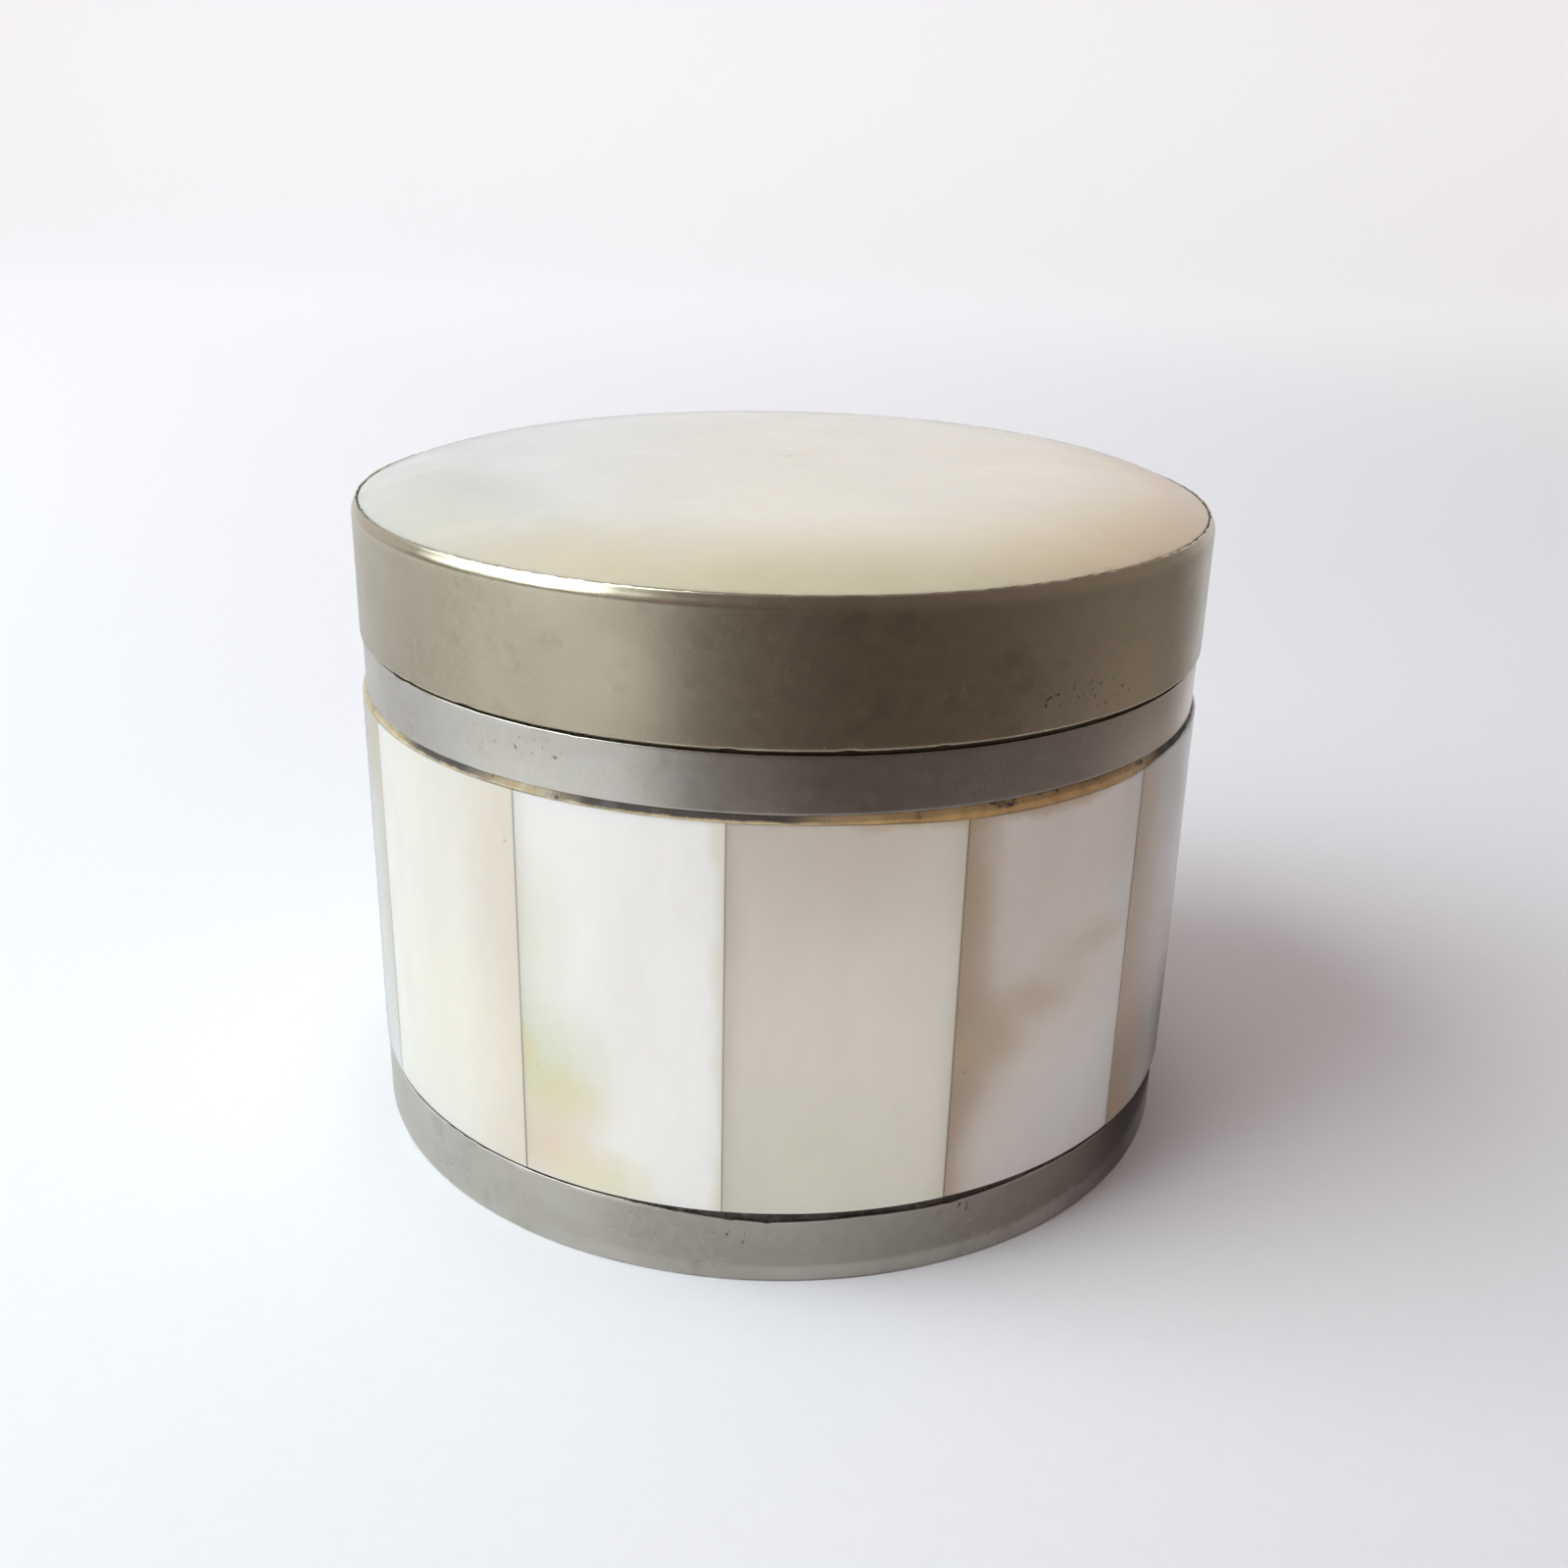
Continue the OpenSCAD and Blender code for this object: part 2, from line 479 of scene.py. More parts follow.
def turned_metal(name, seed, light, dark, flat=False):
    """Inner metal that the air has reached less: fine lathe lines and a light stain."""
    p = Paint(name)
    own = p.moved((seed * 4.1, seed * 6.7, seed * 2.3))
    stain = p.ramp(p.noise(0.16, detail=6, roughness=0.6, warp=0.5, at=own), 0.42, 0.7)
    fine = p.noise(3.0, detail=4, at=own)
    colour = p.mix(stain, light, dark)
    if flat:
        joined = p.node("CombineXYZ")
        p.link(p.length(p.x, p.y), joined.inputs[0])
        lines = p.noise(5.0, detail=3, at=joined.outputs[0])
    else:
        lines = p.noise(1.0, stretch=(0.1, 0.1, 9), detail=3, at=own)
    colour = p.shade(colour, p.ramp(lines, 0.3, 0.7, 0.9, 1.08))
    spots = p.specks(0.9, 0.1, 0.14, at=own)
    colour = p.mix(p.times(spots, 0.5), colour, dark)
    rough = p.plus(p.ramp(fine, 0.3, 0.7, 0.26, 0.36), p.times(stain, 0.12))
    normal = p.bump(lines, 0.006 * MM)
    normal = p.bump(fine, 0.003 * MM, normal)
    return p.finish(colour, rough, normal, Metallic=1.0)


def cement(name, seed, light, dark, dirt):
    """Old cement: a crumbly bead whose colour runs from light to dark, with dirt in it."""
    p = Paint(name)
    own = p.moved((seed * 2.9, seed * 8.3, seed * 1.7))
    tone = p.ramp(p.noise(0.9, detail=5, roughness=0.65, warp=0.6, at=own), 0.34, 0.66)
    colour = p.mix(tone, light, dark)
    patchy = p.noise(0.55, detail=6, roughness=0.7, at=p.moved((3, seed, 21)))
    crumbs = p.ramp(patchy, 0.6, 0.65)
    colour = p.mix(crumbs, colour, dirt)
    rough = p.ramp(tone, 0, 1, 0.45, 0.75)
    normal = p.bump(p.noise(6.0, detail=5, at=own), 0.02 * MM)
    return p.finish(colour, rough, normal)


# -------- shell


def shell(p, colour, own, grain, facing=None, wave=0.03):
    """Adds the shell's cloudy layers, polish and depth to a base colour, and wires the shader.

    The layers inside a stave lie flat however round its polished face is, so its body shades
    as if it faced one way; facing is that way. wave is the depth of its polish marks in mm.
    """
    cloud = p.noise(0.16, stretch=grain, detail=4, roughness=0.5, warp=0.8, at=own)
    layers = p.noise(0.7, stretch=grain, detail=4, roughness=0.5, warp=1.0, at=own)
    colour = p.shade(colour, p.ramp(cloud, 0.3, 0.7, 0.97, 1.02))
    colour = p.shade(colour, p.ramp(layers, 0.3, 0.7, 0.988, 1.01))
    normal = p.bump(cloud, wave * MM)
    normal = p.bump(p.noise(2.2, detail=4, at=own), 0.0022 * MM, normal)
    if facing:
        body = p.bump(cloud, wave * MM, p.turned_towards(facing, 0.88))
        rough = p.ramp(layers, 0.25, 0.75, 0.5, 0.6)
        material = p.finish(
            colour, rough, body, IOR=1.3, Coat_Weight=1.0, Coat_IOR=1.5, Coat_Roughness=0.2
        )
        p.link(normal, p.shader.inputs["Coat Normal"])
    else:
        rough = p.ramp(layers, 0.25, 0.75, 0.18, 0.27)
        material = p.finish(colour, rough, normal, IOR=1.56)
    p.shader.inputs["Subsurface Weight"].default_value = 0.35
    p.shader.inputs["Subsurface Radius"].default_value = (1.0, 0.8, 0.55)
    p.shader.inputs["Subsurface Scale"].default_value = 1.4 * MM
    p.shader.inputs["Thin Film Thickness"].default_value = 320
    p.shader.inputs["Thin Film IOR"].default_value = 1.45
    return material


def stave_shell(name, centre, sweep, seed, look):
    """Shell of one stave. look is its two base colours, its left and right edge, and its stains.

    An edge is (colour, share of the width, strength, dirt in the joint). A stain is (across, up,
    size across, size up, colour, strength), all but the colour from 0 to 1.
    """
    base, left, right, stains = look
    p = Paint(name)
    own = p.moved((seed * 11.0, seed * 5.0, seed * 17.0))
    out = (math.cos(centre), math.sin(centre), 0)
    ahead = p.plus(p.times(p.x, out[0]), p.times(p.y, out[1]))
    aside = p.minus(p.times(p.y, out[0]), p.times(p.x, out[1]))
    across = p.plus(p.math("DIVIDE", p.math("ARCTAN2", aside, ahead), sweep), 0.5)
    up = p.math("DIVIDE", p.minus(p.z, BASE_TOP / MM), (BAND_Z - BASE_TOP) / MM)
    wander = p.times(p.minus(p.noise(0.22, detail=4, at=own), 0.5), 0.5)
    loose = p.plus(across, p.times(wander, 0.35))
    colour = p.mix(p.ramp(p.noise(0.11, stretch=(1, 1, 0.4), at=own), 0.4, 0.62), base[0], base[1])
    sides = ((left, loose), (right, p.minus(1.0, loose)))
    for (tint, width, strength, _), side in sides:
        colour = p.mix(p.times(p.ramp(side, width, 0.0), strength), colour, tint)
    for at_across, at_up, size_across, size_up, tint, strength in stains:
        dx = p.math("DIVIDE", p.minus(loose, at_across), size_across)
        raised = p.plus(up, p.times(wander, 0.3))
        dy = p.math("DIVIDE", p.minus(raised, at_up), size_up)
        near = p.ramp(p.length(dx, dy), 1.0, 0.1)
        colour = p.mix(p.times(near, strength), colour, tint)
    for dirt, side in ((left[3], across), (right[3], p.minus(1.0, across))):
        line = p.ramp(side, 0.0075, 0.002)
        colour = p.mix(p.times(line, dirt), colour, (0.25, 0.15, 0.07))
    dots = p.specks(0.5, 0.1, 0.05, at=own)
    colour = p.mix(p.times(dots, 0.5), colour, (0.2, 0.2, 0.22))
    return shell(p, colour, own, (1, 1, 0.35), out)


WHITE = (0.80, 0.785, 0.745)
COOL = (0.77, 0.775, 0.75)
CREAM = (0.78, 0.70, 0.54)
TAN = (0.62, 0.47, 0.30)
PINK = (0.72, 0.58, 0.50)
GREEN = (0.66, 0.68, 0.45)
YELLOW = (0.76, 0.68, 0.36)
BROWN = (0.48, 0.33, 0.21)


def disc_shell(name):
    """Shell of the lid: grey-white to one side, cream in the middle and peach to the other, partly
    painted reflection and painted shade.
    """
    p = Paint(name)
    own = p.moved((31.0, 12.0, 5.0))
    drift = p.times(p.minus(p.noise(0.07, detail=3, warp=0.5, at=own), 0.5), 10)
    across = p.math("DIVIDE", p.plus(p.x, drift), PEARL_R / MM)
    ahead = p.math("DIVIDE", p.plus(p.y, p.times(drift, 0.4)), PEARL_R / MM)
    # Grey-white to the left: partly the shell's own tint, partly a painted reflection of the bright
    # side.
    colour = p.mix(p.ramp(across, -0.8, 0.1), (0.71, 0.755, 0.74), (0.76, 0.74, 0.63))
    colour = p.mix(p.ramp(across, 0.2, 1.2), colour, (0.79, 0.74, 0.61))
    # Cream at the front edge: partly the shell's own tint, partly painted shade where the dome curves
    # down.
    rim = p.ramp(p.length(across, ahead), 0.6, 1.02)
    front = p.ramp(ahead, 0.1, -0.8)
    colour = p.mix(p.times(rim, front), colour, (0.67, 0.60, 0.42))
    # Paler towards the back: a painted reflection.
    colour = p.mix(p.ramp(ahead, 0.1, 1.1, 0.0, 0.6), colour, (0.84, 0.84, 0.82))
    # Peach at the right edge: partly the shell's own tint, partly painted shade.
    side = p.times(p.times(rim, p.ramp(across, 0.2, 0.9)), p.ramp(ahead, 0.6, 0.0))
    colour = p.mix(p.times(side, 0.8), colour, (0.72, 0.57, 0.37))
    # Darker grey at the left edge: painted shade.
    shaded = p.times(rim, p.ramp(across, -0.3, -0.9))
    colour = p.mix(p.times(shaded, 0.7), colour, (0.58, 0.61, 0.57))
    grain = p.noise(0.35, stretch=(0.3, 1, 1), detail=2, warp=0.6, at=own)
    colour = p.shade(colour, p.ramp(grain, 0.3, 0.7, 0.996, 1.003))
    dots = p.specks(0.33, 0.12, 0.045, at=own)
    colour = p.mix(p.times(dots, 0.35), colour, (0.3, 0.3, 0.3))
    return shell(p, colour, own, (0.8, 1, 1), wave=0.01)


# -------- pieces of the lower half

FRONT = -math.pi / 2
# Height of the hand-filed base band's top edge over the CAD's, in mm, by degrees from the front
FOOT_EDGE = (
    (-180, -90, -30, -17, -6, 0, 12, 21, 37, 90, 180),
    (0.0, 0.05, 0.08, 0.1, -0.1, -0.2, -0.08, -0.16, 0.0, 0.0, 0.0),
)


def placed(obj, material, body, slot_name, *nodes):
    """Gives a piece its material and body, and lets it stand for CAD nodes."""
    obj.data.materials.append(material)
    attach(obj, body)
    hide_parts(*nodes)


def from_front(angle):
    """Degrees from the front towards the right, from -180 to 180."""
    return (np.degrees(angle - FRONT) + 180) % 360 - 180


def dented(seed, depth, size):
    """A shape function that sinks an outer wall a little, unevenly, as handling does."""
    field, small = Field(seed), Field(seed + 1)

    def shape(angle, radius, z):
        wall = smoothstep(0.985, 0.995, radius / radius.max())
        sink = field.around(angle, radius, z, size) + 0.4 * small.around(angle, radius, z, size / 3)
        return radius - wall * depth * (0.7 + 0.5 * sink), z

    return shape


def make_base_band():
    outline = band_outline(BASE_IN_R, BOX_R, BASE_Z, BASE_TOP, 0.14 * MM, 0.04 * MM)
    nicks = Field(5)
    dent = dented(6, 0.02 * MM, 4 * MM)

    def shape(angle, radius, z):
        radius, z = dent(angle, radius, z)
        at_top = smoothstep(BASE_TOP - 0.9 * MM, BASE_TOP, z)
        bite = smoothstep(0.45, 0.9, nicks.around(angle, radius, 0, 0.8 * MM))
        filed = np.interp(from_front(angle), *FOOT_EDGE)
        return radius, z + at_top * (filed - bite * 0.05) * MM

    tones = ((0.48, 0.46, 0.41), (0.43, 0.405, 0.36), (0.39, 0.355, 0.31))
    # Painted light and shade: a painted highlight at the front left, painted shade on the far left, and
    # deep painted shade at the right end.
    painted_light_zones = ((-42, -14, 0.25, 1.4), (-100, -62, 0.5, 0.7), (50, 84, 0.92, 0.15))
    spots = ((-4, 2.2, 3, 0.3), (24, 2.7, 2, 0.3))
    metal = tarnished_metal("base_band_metal", BASE_Z, BASE_TOP, 2, tones, painted_light_zones, spots)
    band = turned_ring("foot_band", outline, shape)
    placed(band, metal, "box", "white_metal", "base_band")


def lathe_marks(seed, pitch):
    """How far a turned face is cut in: fine rings one pitch apart, and a slow waviness."""
    field = Field(seed)

    def depth(angle, radius, z):
        rings = field.at(radius / pitch, 0 * angle, 0 * angle)
        wave = field.around(angle, radius, z, 5 * MM)
        return 0.004 * MM * (1 + rings) + 0.012 * MM * (1 + wave)

    return depth


def make_base_plate():
    dish = 0.12 * MM
    share = np.linspace(0, 1, 90)
    under = [(BASE_IN_R * s, dish * (1 - s ** 6) * smoothstep(1.0, 0.93, s)) for s in share]
    over = [(BASE_IN_R * s, FLOOR_TOP) for s in share[::-1]]
    outline = np.array(under + over)
    marks = lathe_marks(9, 0.35 * MM)

    def shape(angle, radius, z):
        lift = np.where(z < FLOOR_TOP / 2, marks(angle, radius, z), 0)
        inner = smoothstep(1.0, 0.9, radius / BASE_IN_R)
        return radius, z + lift * inner

    metal = turned_metal("base_plate_metal", 3, (0.46, 0.44, 0.39), (0.27, 0.235, 0.18), flat=True)
    plate = turned_disc("foot_plate", outline, shape)
    placed(plate, metal, "box", "inner_metal", "base_plate")


def make_lower_cement():
    """Dark cement in the groove over the base band, under the staves that stand out over it."""
    face = outer_radius("lower_cement")
    low, high = BASE_TOP - 0.35 * MM, LOW_CEMENT_TOP
    outline = band_outline(BASE_IN_R, face, low, high, step=0.07 * MM)
    lumps, fine = Field(11), Field(12)

    def shape(angle, radius, z):
        lump = lumps.around(angle, radius, z, 1.1 * MM) + 0.6 * fine.around(angle, radius, z, 0.3 * MM)
        outside = smoothstep(face - 0.1 * MM, face, radius)
        return radius + outside * (0.04 + 0.05 * lump) * MM, z

    brown, black, dirt = (0.07, 0.055, 0.04), (0.03, 0.022, 0.017), (0.17, 0.17, 0.10)
    material = cement("lower_cement_dark", 4, brown, black, dirt)
    bead = turned_ring("lower_cement_bead", outline, shape, BEAD_SEGMENTS)
    placed(bead, material, "box", "dark_cement", "lower_cement")


def smear(angle):
    """How far the upper cement was wiped down over the staves, which is most at the right."""
    turn = from_front(angle)
    return smoothstep(4, 30, turn) * smoothstep(58, 46, turn) * 0.22 * MM


def sunk(angle, z):
    """How far the staves sit back: those on the left, and the tops of those on the right."""
    turn = from_front(angle)
    left = 0.1 * smoothstep(-25, -75, turn)
    right = 0.1 * smoothstep(40, 75, turn) * smoothstep(8 * MM, HIGH_CEMENT_Z, z)
    return (left + right) * MM


def upper_cement_look():
    """Yellowed cement: tan at its foot, with a dark line under the band: painted shadow, made darker by
    stretches of black dirt, and dark all through on the right.
    """
    p = Paint("upper_cement_yellow")
    own = p.moved((17.4, 49.8, 10.2))
    turn = p.azimuth()
    tone = p.ramp(p.noise(0.9, detail=5, roughness=0.65, warp=0.6, at=own), 0.34, 0.66)
    pale = p.mix(tone, (0.66, 0.55, 0.34), (0.56, 0.43, 0.24))
    strong = p.mix(tone, (0.58, 0.37, 0.15), (0.46, 0.27, 0.10))
    colour = p.mix(p.window(turn, 4.0, 50.0, 12.0), pale, strong)
    patchy = p.noise(0.8, detail=5, roughness=0.7, at=own)
    dirt = p.math("MAXIMUM", p.window(turn, -52.0, -36.0, 4.0), p.window(turn, -25.0, 4.0, 4.0))
    dirt = p.math("MAXIMUM", dirt, p.ramp(patchy, 0.56, 0.66))
    # The dark line just under the band is painted shadow, darkest where the dirt lies; from 52 to 110
    # degrees it is dark all through.
    depth = p.plus(p.minus(p.z, BAND_Z / MM), p.times(patchy, 0.24))
    line = p.times(p.ramp(depth, -0.12, 0.0), p.plus(p.times(dirt, 0.6), 0.4))
    line = p.math("MAXIMUM", line, p.window(turn, 52.0, 110.0, 5.0))
    colour = p.mix(line, colour, (0.045, 0.032, 0.022))
    normal = p.bump(p.noise(6.0, detail=5, at=own), 0.015 * MM)
    return p.finish(colour, p.ramp(tone, 0, 1, 0.45, 0.7), normal)


def make_upper_cement():
    """A bead that slopes from the staves' upper edges in to the band."""
    low, high = HIGH_CEMENT_Z, BAND_Z + 0.03 * MM
    outline = rounded(
        [
            (COLLAR_R, low, 0),
            (STAVE_R - 0.03 * MM, low, 0.03 * MM),
            (BAND_R + 0.02 * MM, high, 0),
            (COLLAR_R, high, 0),
        ],
        0.05 * MM,
    )
    lumps, fine = Field(14), Field(15)

    def shape(angle, radius, z):
        lump = lumps.around(angle, radius, z, 1.6 * MM) + 0.5 * fine.around(angle, radius, z, 0.4 * MM)
        foot = smoothstep(high, low, z)
        outside = smoothstep(BAND_R - 0.05 * MM, BAND_R + 0.1 * MM, radius)
        hidden = 0.07 * MM * smoothstep(40, 70, np.abs(from_front(angle)))
        shrink = outside * (0.02 * lump * MM - sunk(angle, z) - hidden)
        return radius + shrink, z - foot * outside * (smear(angle) + 0.04 * lump * MM)

    bead = turned_ring("upper_cement_bead", outline, shape, BEAD_SEGMENTS)
    placed(bead, upper_cement_look(), "box", "yellow_cement", "upper_cement")


def seam_drop(angle):
    """How much the seam under the lid widens, from the left of the front to its right."""
    return (0.5 + 0.5 * np.sin(angle - FRONT)) * 0.13 * MM


def make_upper_band():
    outline = band_outline(COLLAR_R, BAND_R, BAND_Z, BAND_TOP, 0.03 * MM, 0.06 * MM)
    nicks = Field(17)
    dent = dented(18, 0.018 * MM, 4 * MM)

    def shape(angle, radius, z):
        radius, z = dent(angle, radius, z)
        at_top = smoothstep(BAND_TOP - 0.4 * MM, BAND_TOP, z)
        bite = smoothstep(0.5, 0.95, nicks.around(angle, radius, 0, 0.7 * MM))
        return radius, z - at_top * (seam_drop(angle) + bite * 0.04 * MM)

    tones = ((0.52, 0.50, 0.45), (0.47, 0.445, 0.395), (0.42, 0.39, 0.34))
    # Painted light and shade: a painted highlight at the front left, painted shade at the front right,
    # and a painted highlight further right.
    painted_light_zones = ((-40, -14, 0.4, 1.4), (2, 38, 0.5, 0.72), (46, 75, 0.7, 1.8))
    spots = ((-29, 23.2, 5, 0.3), (2, 22.2, 3, 0.3))
    metal = tarnished_metal("upper_band_metal", BAND_Z, BAND_TOP, 5, tones, painted_light_zones, spots)
    band = turned_ring("shoulder_band", outline, shape)
    placed(band, metal, "box", "white_metal", "upper_band")


def make_collar():
    rim = [v.co.z > COLLAR_TOP - 0.01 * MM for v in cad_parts["collar"].data.vertices]
    inner = node_radii("collar")[rim].min()
    flange = 0.45 * MM
    outline = rounded(
        [
            (BORE_R, COLLAR_Z, 0),
            (COLLAR_R, COLLAR_Z, 0),
            (COLLAR_R, COLLAR_TOP, 0.15 * MM),
            (inner, COLLAR_TOP, 0.15 * MM),
            (inner, COLLAR_Z + flange, 0.12 * MM),
            (BORE_R, COLLAR_Z + flange, 0.12 * MM),
        ]
    )
    metal = turned_metal("collar_metal", 7, (0.55, 0.53, 0.47), (0.33, 0.29, 0.22))
    ring = turned_ring("slip_collar", outline)
    placed(ring, metal, "box", "inner_metal", "collar")


def make_liner():
    outline = band_outline(BORE_R, LINER_R, FLOOR_TOP, LINER_TOP, step=0.4 * MM)
    wave = Field(21)

    def shape(angle, radius, z):
        inside = radius < (BORE_R + LINER_R) / 2
        return radius + inside * 0.03 * MM * (0.5 + 0.5 * wave.around(angle, radius, z, 6 * MM)), z

    metal = turned_metal("liner_metal", 8, (0.50, 0.48, 0.42), (0.30, 0.26, 0.20))
    tube = turned_ring("inner_liner", outline, shape)
    placed(tube, metal, "box", "inner_metal", "liner")


def stave_angles(node):
    """Start and sweep of a stave, from its CAD vertices."""
    co = np.array([v.co[:2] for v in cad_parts[node].data.vertices])
    middle = math.atan2(co[:, 1].mean(), co[:, 0].mean())
    turn = (np.arctan2(co[:, 1], co[:, 0]) - middle + math.pi) % (2 * math.pi) - math.pi
    return middle + turn.min(), turn.max() - turn.min()


# The look of each stave, going round from the one left of the front; some of its colours are painted
# light or shade, as marked
STAVE_LOOKS = [
    (
        # stave_01: its base colours are darkened as painted shade.
        ((0.74, 0.69, 0.61), (0.72, 0.665, 0.59)), (WHITE, 0.2, 0.3, 0.3), (TAN, 0.4, 0.4, 0.5),
        ((0.5, 0.35, 0.6, 0.3, CREAM, 0.3),),
    ),
    (
        ((0.92, 0.89, 0.85), (0.91, 0.88, 0.835)), (CREAM, 0.14, 0.35, 0.5), (CREAM, 0.08, 0.6, 0.15),
        (
            (0.05, 0.66, 0.34, 0.3, GREEN, 0.3),
            (0.08, 0.32, 0.5, 0.26, GREEN, 0.7),
            (0.0, 0.36, 0.14, 0.1, YELLOW, 0.7),
            (0.2, 0.25, 0.4, 0.12, YELLOW, 0.55),
            (0.12, 0.11, 0.5, 0.15, (0.78, 0.60, 0.44), 0.75),
            (0.42, 0.05, 0.4, 0.14, (0.80, 0.74, 0.48), 0.7),
        ),
    ),
    (
        ((0.87, 0.82, 0.72), (0.85, 0.80, 0.70)), (PINK, 0.1, 0.5, 0.3), (CREAM, 0.1, 0.5, 0.5),
        (
            # A darker top: partly a brown tone, partly painted shade under the band.
            (0.5, 1.0, 0.9, 0.4, (0.69, 0.61, 0.53), 0.65),
            (0.35, 0.1, 0.7, 0.35, (0.77, 0.79, 0.64), 0.6),
            (0.8, 0.985, 0.5, 0.03, (0.55, 0.36, 0.16), 0.5),
        ),
    ),
    (
        ((0.87, 0.79, 0.73), (0.85, 0.755, 0.68)),
        ((0.50, 0.31, 0.16), 0.2, 0.7, 0.85),
        (WHITE, 0.2, 0.4, 0.0),
        (
            (0.0, 0.4, 0.4, 0.34, BROWN, 0.6),
            (0.12, 0.40, 0.4, 0.12, TAN, 0.7),
            (0.4, 0.50, 0.4, 0.10, TAN, 0.6),
            (0.72, 0.60, 0.4, 0.09, TAN, 0.4),
            (0.7, 0.15, 0.7, 0.3, (0.86, 0.85, 0.83), 0.8),
            (0.4, 0.985, 0.8, 0.04, (0.55, 0.36, 0.16), 0.6),
            (0.0, 0.75, 0.25, 0.4, TAN, 0.3),
        ),
    ),
    (
        # stave_05: its very pale base colours are partly painted light.
        ((0.97, 0.93, 0.86), (0.96, 0.91, 0.84)),
        ((0.72, 0.45, 0.25), 0.5, 0.8, 0.0),
        (CREAM, 0.2, 0.2, 0.3),
        (
            (0.1, 0.15, 0.4, 0.4, BROWN, 0.35),
            # A pale top: painted light.
            (0.6, 1.0, 0.9, 0.4, (0.97, 0.94, 0.88), 0.8),
        ),
    ),
    ((CREAM, WHITE), (TAN, 0.2, 0.4, 0.5), (CREAM, 0.2, 0.4, 0.4), ()),
    (
        (COOL, WHITE), (CREAM, 0.15, 0.4, 0.4), (PINK, 0.25, 0.4, 0.6),
        ((0.6, 0.7, 0.5, 0.3, GREEN, 0.25),),
    ),
    ((WHITE, COOL), (PINK, 0.2, 0.4, 0.6), (CREAM, 0.15, 0.4, 0.3), ((0.3, 0.3, 0.5, 0.4, CREAM, 0.4),)),
    ((WHITE, CREAM), (CREAM, 0.3, 0.5, 0.3), (TAN, 0.15, 0.4, 0.7), ()),
    ((COOL, COOL), (TAN, 0.15, 0.4, 0.7), (CREAM, 0.2, 0.3, 0.4), ((0.5, 0.15, 0.5, 0.2, PINK, 0.35),)),
    ((WHITE, PINK), (CREAM, 0.2, 0.4, 0.4), (BROWN, 0.16, 0.35, 0.6), ((0.8, 0.6, 0.4, 0.4, TAN, 0.3),)),
    (
        (WHITE, WHITE), (CREAM, 0.25, 0.4, 0.6), (CREAM, 0.2, 0.4, 0.5),
        ((0.2, 0.8, 0.4, 0.25, GREEN, 0.2),),
    ),
    (
        ((0.93, 0.89, 0.79), (0.91, 0.86, 0.75)), (WHITE, 0.2, 0.4, 0.5), (TAN, 0.3, 0.7, 0.3),
        # The second stain, a pale foot, is painted light.
        ((0.8, 1.0, 0.9, 0.35, (0.74, 0.55, 0.30), 0.8), (0.8, 0.0, 0.6, 0.4, (0.92, 0.9, 0.86), 0.8)),
    ),
]


def make_stave(node, look, index):
    start, sweep = stave_angles(node)
    outline = rounded(
        [
            (LINER_R, FLOOR_TOP, 0),
            (BASE_IN_R, FLOOR_TOP, 0),
            (BASE_IN_R, LOW_CEMENT_TOP, 0),
            (STAVE_R, LOW_CEMENT_TOP, 0.05 * MM),
            (STAVE_R, HIGH_CEMENT_Z, 0.04 * MM),
            (COLLAR_R, HIGH_CEMENT_Z, 0),
            (COLLAR_R, LINER_TOP, 0),
            (LINER_R, LINER_TOP, 0),
        ],
        0.45 * MM,
    )
    face, chips = Field(30 + index), Field(60 + index)
    eased = 0.012 * MM
    own_sink = 0.01 * MM * (index * 5 % 4)
    spread = 0.024 * MM / STAVE_R
    start, sweep = start - spread, sweep + 2 * spread

    def shape(angle, radius, z):
        outer = smoothstep(STAVE_R - 0.5 * MM, STAVE_R - 0.05 * MM, radius)
        gap = np.minimum(angle - start, start + sweep - angle) * STAVE_R
        worn = eased * (1 + 0.6 * chips.around(angle, radius, z, 1.5 * MM))
        close = np.clip(1 - gap / worn, 0, 1)
        round_off = worn * (1 - np.sqrt(1 - close ** 2))
        wave = 0.02 * MM * (0.5 + 0.5 * face.around(angle, radius, z, 6 * MM))
        top = smoothstep(HIGH_CEMENT_Z - 0.3 * MM, HIGH_CEMENT_Z, z) * (z <= HIGH_CEMENT_Z)
        lowered = top * smoothstep(BAND_R - 0.05 * MM, BAND_R, radius) * smear(angle)
        sink = own_sink + sunk(angle, z)
        return radius - outer * (round_off * 0.8 + wave + sink), z - lowered

    material = stave_shell(node + "_shell", start + sweep / 2, sweep, index + 1, look)
    slat = swept_slat(node + "_slat", outline, start, sweep, shape)
    placed(slat, material, "box", "shell", node)


# -------- pieces of the lid


